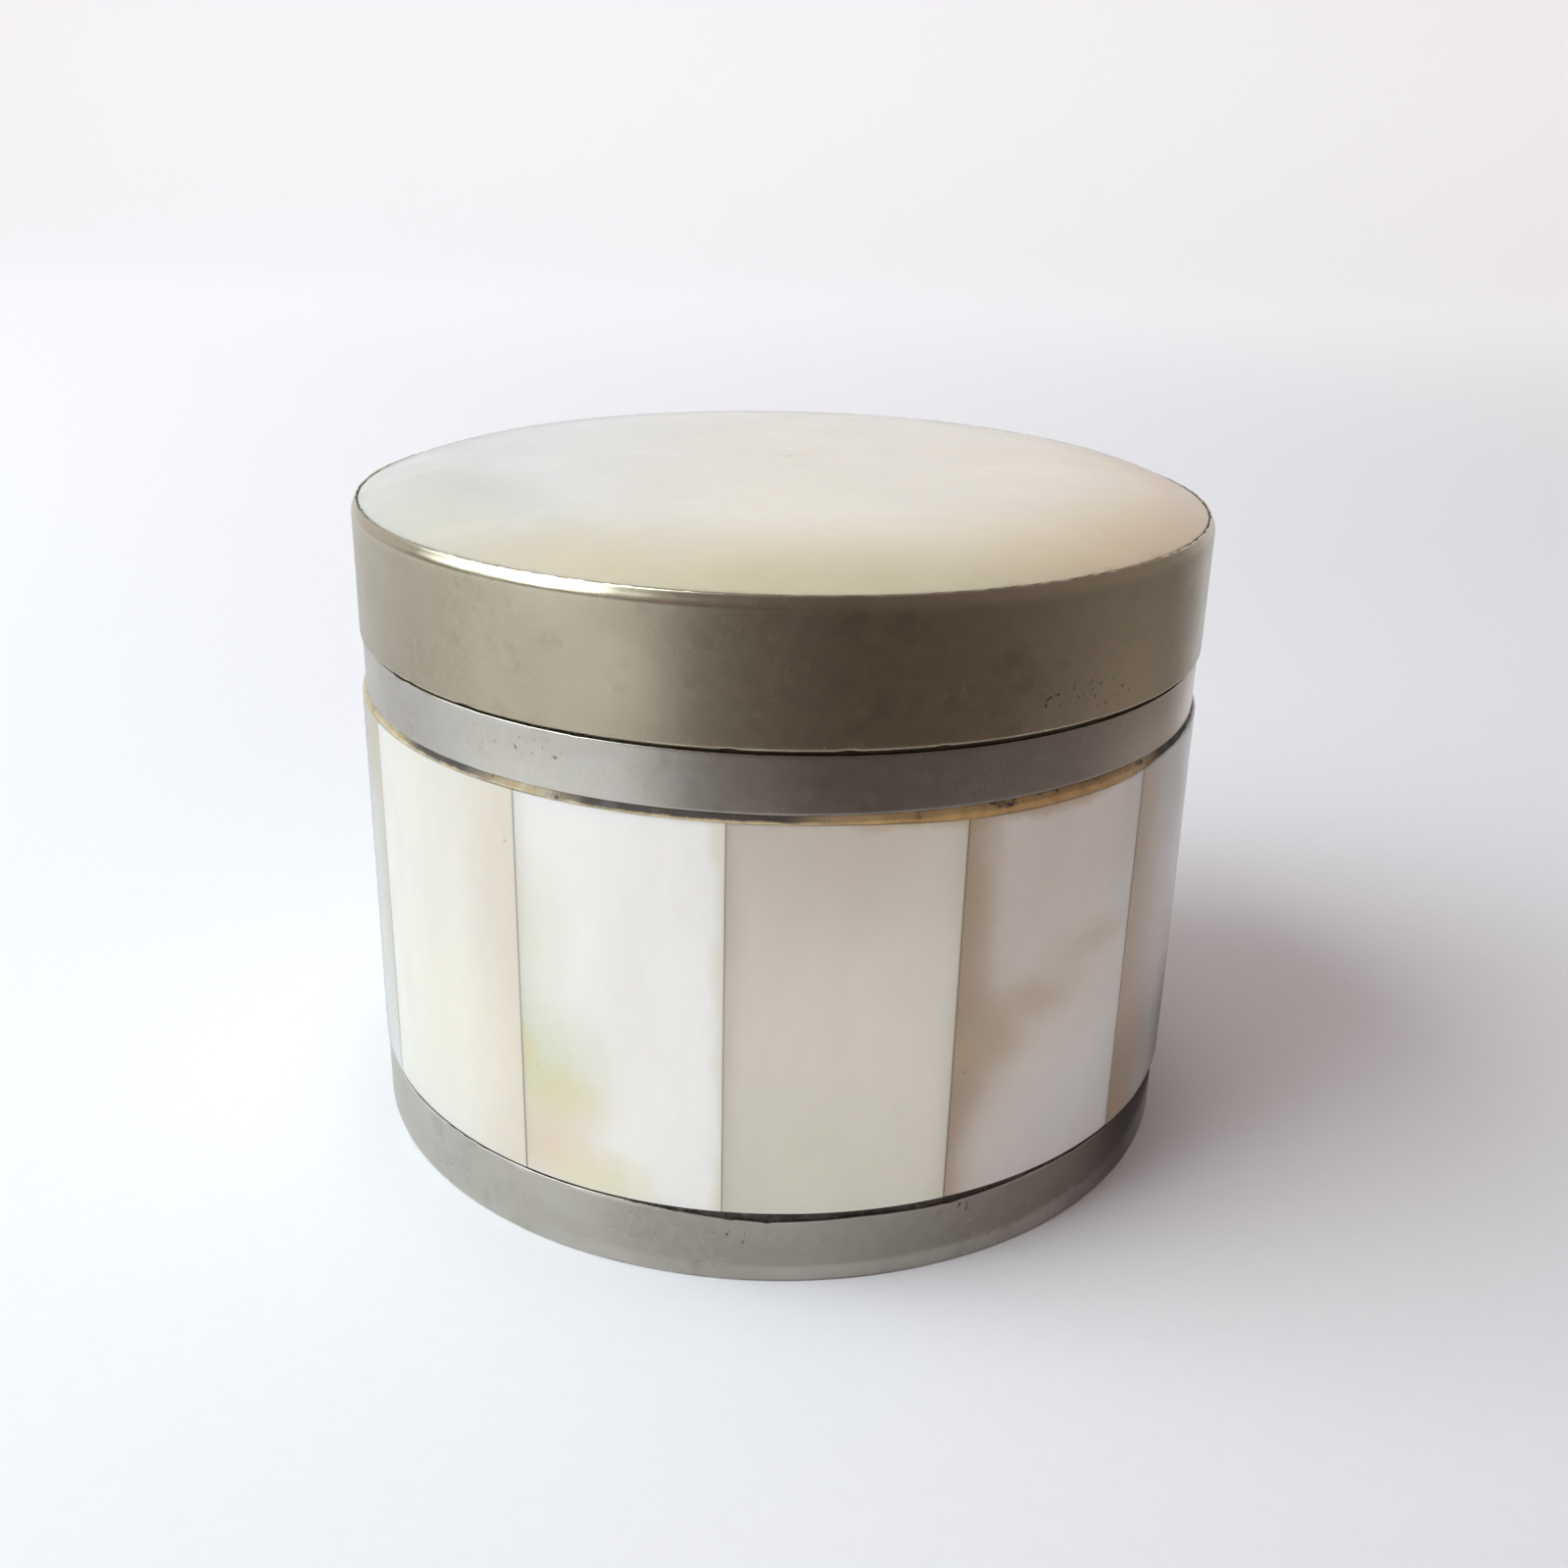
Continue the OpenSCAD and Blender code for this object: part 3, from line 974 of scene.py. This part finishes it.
def make_lid_rim():
    outline = rounded(
        [
            (LID_IN_R, LID_Z, 0.05 * MM),
            (LID_R, LID_Z, 0.09 * MM),
            (LID_R, LIP_Z - 0.42 * MM, 0.8 * MM),
            (LID_R - 0.2 * MM, LIP_Z, 0.11 * MM),
            (LIP_IN_R, LIP_Z, 0),
            (LIP_IN_R, PLATE_Z, 0),
            (LID_IN_R, PLATE_Z, 0),
        ],
        0.1 * MM,
    )
    dent = dented(41, 0.02 * MM, 5 * MM)
    nicks, ragged = Field(43), Field(44)

    def shape(angle, radius, z):
        inner_lip = smoothstep(PLATE_TOP, LIP_Z, z) * (radius < LIP_IN_R + 0.02 * MM)
        radius, z = dent(angle, radius, z)
        at_foot = smoothstep(LID_Z + 0.3 * MM, LID_Z, z)
        bite = smoothstep(0.5, 0.95, nicks.around(angle, radius, 0, 0.9 * MM))
        frayed = ragged.around(angle, radius, 0, 0.3 * MM)
        keen = smoothstep(-0.1, 0.3, nicks.around(angle, radius, 0, 4 * MM))
        on_lip = smoothstep(LIP_Z - 0.5 * MM, LIP_Z - 0.2 * MM, z)
        ripple = ragged.around(angle, radius, 0, 0.9 * MM) + nicks.around(angle, radius, 0, 2.5 * MM)
        radius = radius - on_lip * (1 - inner_lip) * 0.012 * MM * (1 + 0.7 * ripple)
        foot_wall = at_foot * keen * (radius > LID_R - 0.11 * MM)
        radius = radius + foot_wall * np.maximum(LID_R - 0.02 * MM - radius, 0)
        radius = radius + inner_lip * 0.05 * MM * (0.3 + frayed)
        return radius, z + at_foot * (bite * 0.04 * MM)

    tones = ((0.44, 0.405, 0.30), (0.405, 0.365, 0.265), (0.36, 0.315, 0.225))
    # Painted highlights: at the front left, and low on the right.
    painted_light_zones = ((-30, -14, 0.2, 1.4), (36, 56, 0.7, 1.5))
    spots = ((37, 25.4, 8, 0.7),)
    metal = tarnished_metal("lid_rim_metal", LID_Z, LIP_Z, 1, tones, painted_light_zones, spots, lip=True)
    rim = turned_ring("lid_rim_band", outline, shape, RIM_SEGMENTS)
    placed(rim, metal, "lid", "white_metal", "lid_rim")


def make_lid_plate():
    share = np.linspace(0, 1, 90)
    under = [(LIP_IN_R * s, PLATE_Z) for s in share]
    over = [(LIP_IN_R * s, PLATE_TOP) for s in share[::-1]]
    outline = np.array(under + over)
    marks = lathe_marks(47, 0.4 * MM)

    def shape(angle, radius, z):
        underside = z < (PLATE_Z + PLATE_TOP) / 2
        return radius, z + np.where(underside, marks(angle, radius, z), 0)

    metal = turned_metal("lid_plate_metal", 9, (0.52, 0.50, 0.44), (0.31, 0.27, 0.20), flat=True)
    plate = turned_disc("lid_inner_plate", outline, shape)
    placed(plate, metal, "lid", "inner_metal", "lid_plate")


def dome(share):
    """Height of the lid's dome at a share of its radius, as in the CAD."""
    return PEARL_EDGE_Z + (PEARL_TOP - PEARL_EDGE_Z) * (1 - share**DOME_POWER)


def dome_power():
    """Fullness of the CAD dome, from the height of its vertices near the shoulder."""
    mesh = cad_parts["lid_pearl"].data
    near = min(
        (v.co for v in mesh.vertices if v.co.z > PEARL_EDGE_Z),
        key=lambda co: abs(math.hypot(co.x, co.y) - PEARL_R * 0.85),
    )
    share = math.hypot(near.x, near.y) / PEARL_R
    drop = (PEARL_TOP - near.z) / (PEARL_TOP - PEARL_EDGE_Z)
    return math.log(drop) / math.log(share)


DOME_POWER = dome_power()


def make_lid_pearl():
    edge_r = PEARL_R + 0.03 * MM
    share = np.sin(np.linspace(0, math.pi / 2, 130))
    rim = 0.04 * MM
    under = [(edge_r * s, PEARL_Z) for s in np.linspace(0, 1, 12)]
    wall = [(edge_r, PEARL_Z + (PEARL_EDGE_Z - rim - PEARL_Z) * s) for s in (0.3, 0.6, 0.9, 1)]
    over = [(edge_r * s - rim * (s > 0.9999), dome(s)) for s in share[::-1]]
    outline = np.array(under + wall + over)
    wave, chips = Field(51), Field(52)

    def shape(angle, radius, z):
        near_edge = smoothstep(0.985, 1.0, radius / edge_r)
        chip = smoothstep(0.1, 0.9, chips.around(angle, radius, z, 0.4 * MM))
        rise = np.maximum(z - PEARL_EDGE_Z, 0)
        lean = 0.94 + 0.06 * radius * np.cos(angle) / edge_r
        uneven = 0.5 + 0.5 * wave.around(angle, radius, z, 7 * MM)
        sink = smoothstep(0, 0.3 * MM, rise) * 0.02 * MM * uneven
        back = 0.035 * MM * np.sin(angle) * radius / edge_r
        return radius + back - near_edge * chip * 0.08 * MM, z - rise * (1 - lean) - sink

    disc = turned_disc("lid_shell_disc", outline, shape)
    placed(disc, disc_shell("lid_disc_shell"), "lid", "shell", "lid_pearl")


def make_lid_cement():
    corners = [
        (PEARL_R - 0.12 * MM, PEARL_Z, 0),
        (LIP_IN_R + 0.05 * MM, PEARL_Z, 0),
        (LIP_IN_R + 0.05 * MM, PEARL_EDGE_Z - 0.02 * MM, 0.03 * MM),
        (PEARL_R - 0.12 * MM, PEARL_EDGE_Z - 0.02 * MM, 0.03 * MM),
    ]
    lumps = Field(55)

    def shape(angle, radius, z):
        top = smoothstep(PEARL_EDGE_Z - 0.15 * MM, PEARL_EDGE_Z, z)
        return radius, z + top * 0.05 * MM * (lumps.around(angle, radius, z, 0.5 * MM) - 0.6)

    brown, black, dirt = (0.11, 0.10, 0.065), (0.035, 0.033, 0.022), (0.2, 0.19, 0.12)
    material = cement("lid_cement_dark", 8, brown, black, dirt)
    bead = turned_ring("lid_cement_line", rounded(corners, 0.05 * MM), shape, BEAD_SEGMENTS)
    placed(bead, material, "lid", "dark_cement", "lid_cement")


make_base_plate()
make_base_band()
make_lower_cement()
make_liner()
for number, stave_name in enumerate(STAVES):
    make_stave(stave_name, STAVE_LOOKS[number % len(STAVE_LOOKS)], number)
make_upper_cement()
make_upper_band()
make_collar()
make_lid_rim()
make_lid_plate()
make_lid_cement()
make_lid_pearl()


# -------- stage, light and camera


def make_backdrop():
    """Pale paper that runs flat under the box and curves up far behind it. It glows with painted light,
    more towards the back, and painted shade darkens it towards the front right.
    """
    reach, bend, top = 0.45, 0.5, 1.2
    arc = np.linspace(0, math.pi / 2, 24)
    profile = [(-1.5, 0.0)]
    profile += [(reach + bend * math.sin(a), bend * (1 - math.cos(a))) for a in arc]
    profile += [(reach + bend, top)]
    half = 2.5
    points = [(x, y, z) for y, z in profile for x in (-half, half)]
    faces = [(2 * i, 2 * i + 1, 2 * i + 3, 2 * i + 2) for i in range(len(profile) - 1)]
    paper = mesh_object("paper_backdrop", points, faces)
    p = Paint("paper")
    grain = p.noise(1.2, detail=5)
    tone = p.shade((0.87, 0.87, 0.88), p.ramp(grain, 0.3, 0.7, 0.992, 1.004))
    # Painted light: the paper glows more towards the back and the left.
    glow = p.plus(p.ramp(p.y, 10.0, 480.0, 0.0, 0.36), p.ramp(p.y, 450.0, 800.0, 0.0, 0.12))
    glow = p.times(glow, p.ramp(p.x, -500.0, 700.0, 1.06, 0.9))
    p.link(glow, p.shader.inputs["Emission Strength"])
    p.tint((0.95, 0.97, 1.0), p.shader.inputs["Emission Color"])
    # Painted shade towards the front right.
    corner = p.minus(p.x, p.y)
    tone = p.shade(tone, p.ramp(corner, 30.0, 110.0, 1.0, 0.82))
    paper.data.materials.append(p.finish(tone, 0.85, p.bump(grain, 0.02 * MM)))


def fan(name, profile, first, last, steps):
    """An open (radius, z) profile turned from one degree to another, counted from the front."""
    turns = np.radians(np.linspace(first, last, steps))
    points = [(r * math.sin(t), -r * math.cos(t), z) for t in turns for r, z in profile]
    row = len(profile)
    faces = [
        (row * i + j, row * i + j + 1, row * i + row + j + 1, row * i + row + j)
        for i in range(steps - 1)
        for j in range(row - 1)
    ]
    return mesh_object(name, points, faces)


def glowing(obj, p, colour, strength):
    """Gives a piece of the stage a material that glows and reflects nothing."""
    p.tint(colour, p.shader.inputs["Emission Color"])
    p.shader.inputs["Emission Strength"].default_value = strength
    obj.data.materials.append(p.finish((0.0, 0.0, 0.0), 1.0, Specular_IOR_Level=0.0))


def only_seen_by(obj, camera=False, glossy=False):
    """Hides a piece of the stage from every kind of ray but the ones named."""
    obj.visible_camera = camera
    obj.visible_glossy = glossy
    obj.visible_diffuse = False
    obj.visible_shadow = False
    obj.visible_transmission = False


def make_far_paper():
    """A glowing sheet painted as the same lit paper seen from the other sides: it lights nothing, and
    hides the room's edge.
    """
    bend, reach, top = 0.5, 0.9, 3.0
    arc = np.linspace(0, math.pi / 2, 24)
    over_floor = 0.3 * MM
    profile = [(0.1, over_floor), (0.4, over_floor)]
    profile += [(reach + bend * math.sin(a), over_floor + bend * (1 - math.cos(a))) for a in arc]
    profile += [(reach + bend, top)]
    bowl = fan("far_paper", profile, -150, 150, 101)
    p = Paint("far_paper_glow")
    covered = p.times(
        p.ramp(p.length(p.x, p.y), 110.0, 420.0), p.window(p.azimuth(), -112.0, 112.0, 24.0)
    )
    p.link(covered, p.shader.inputs["Alpha"])
    glowing(bowl, p, (0.82, 0.81, 0.83), 1.0)
    only_seen_by(bowl, camera=True)


def make_dark_room():
    """A dim screen round the front and right, seen only in the metal's reflections.

    It fades in from the left, so that the metal turns from bright to dark gradually.
    """
    near, far, top = BOX_R + 0.5 * MM, 0.3, 0.5
    over_floor = 0.4 * MM
    profile = [(near, over_floor), (far, over_floor), (far, top)]
    screen = fan("dark_screen", profile, -160, 170, 110)
    p = Paint("dim_room")
    turn = p.azimuth()
    away = p.length(p.x, p.y)
    outer = p.ramp(away, 40.0, 64.0)
    glow = p.mix(p.ramp(turn, 10.0, 110.0), (0.152, 0.115, 0.106), (0.28, 0.235, 0.22))
    near_glow = p.mix(p.ramp(turn, 30.0, 100.0), (0.16, 0.125, 0.115), (0.04, 0.03, 0.027))
    glow = p.mix(outer, near_glow, glow)
    arrive = p.plus(p.ramp(turn, -37, -14, 0.0, 0.8), p.ramp(turn, -18, 14, 0.0, 0.2))
    inner = p.times(p.ramp(turn, -30.0, 100.0, 0.2, 1.0), p.ramp(away, 32.0, 24.0))
    outer = p.times(outer, p.ramp(turn, 140.0, 112.0))
    inner = p.times(inner, p.ramp(turn, 160.0, 100.0))
    cover = p.times(arrive, p.math("MAXIMUM", inner, outer))
    veil = p.times(p.window(turn, -150.0, -80.0, 10.0), p.ramp(away, 40.0, 70.0, 0.0, 0.2))
    p.link(p.math("MAXIMUM", cover, veil), p.shader.inputs["Alpha"])
    glowing(screen, p, glow, 1.0)
    only_seen_by(screen, glossy=True)


def make_bright_card():
    """A pale card high on the left, seen only in reflections: it lights the lip there."""
    near, low, high = 0.9, 0.25, 1.3
    card = fan("bright_card", [(near, low), (near, high)], -170, -60, 24)
    glowing(card, Paint("card_white"), (0.93, 0.97, 1.0), 0.7)
    only_seen_by(card, glossy=True)


def area_light(name, direction, elevation, distance, size, power, colour):
    """A soft square light. direction and elevation are in degrees, the first from the front."""
    data = bpy.data.lights.new(name, "AREA")
    data.shape = "SQUARE"
    data.size = size
    data.energy = power
    data.color = colour
    lamp = bpy.data.objects.new(name, data)
    bpy.context.scene.collection.objects.link(lamp)
    a, e = math.radians(direction), math.radians(elevation)
    way = Vector((math.sin(a) * math.cos(e), -math.cos(a) * math.cos(e), math.sin(e)))
    lamp.location = way * distance + Vector((0, 0, PEARL_TOP / 2))
    lamp.rotation_euler = way.to_track_quat("Z", "Y").to_euler()


def make_world():
    world = bpy.data.worlds.new("soft_room")
    bpy.context.scene.world = world
    world.use_nodes = True
    background = world.node_tree.nodes["Background"]
    background.inputs["Color"].default_value = (1.0, 0.815, 0.805, 1)
    background.inputs["Strength"].default_value = 0.32


# The camera's lens in mm, its turn, pitch and roll in degrees, and its distance from the box's
# axis and height over the floor, as multiples of the lid's radius
LENS = 37.6
CAMERA_TURN, CAMERA_PITCH, CAMERA_ROLL = 0.256, 21.55, 1.46
CAMERA_BACK, CAMERA_UP = 3.874, 2.283


def make_camera():
    """The view: from the front and above, with a slight turn and roll."""
    data = bpy.data.cameras.new("camera")
    data.sensor_width = 36
    data.lens = LENS
    data.clip_start = 0.001
    camera = bpy.data.objects.new("camera", data)
    bpy.context.scene.collection.objects.link(camera)
    turn, pitch, roll = (math.radians(d) for d in (CAMERA_TURN, CAMERA_PITCH, CAMERA_ROLL))
    forward = Vector(
        (math.sin(turn) * math.cos(pitch), math.cos(turn) * math.cos(pitch), -math.sin(pitch))
    )
    right = Vector((math.cos(turn), -math.sin(turn), 0))
    up = right.cross(forward)
    side = math.cos(roll) * right + math.sin(roll) * up
    top = math.cos(roll) * up - math.sin(roll) * right
    place = Vector((0, -CAMERA_BACK * LID_R, CAMERA_UP * LID_R))
    facing = Matrix((side, top, -forward)).transposed().to_4x4()
    camera.matrix_world = Matrix.Translation(place) @ facing
    bpy.context.scene.camera = camera


make_backdrop()
make_far_paper()
make_dark_room()
make_bright_card()
area_light(
    "window", direction=-75, elevation=42, distance=0.45, size=0.4, power=2.5, colour=(0.86, 0.96, 1.01)
)
make_world()
make_camera()
bpy.context.scene.view_settings.view_transform = "Standard"
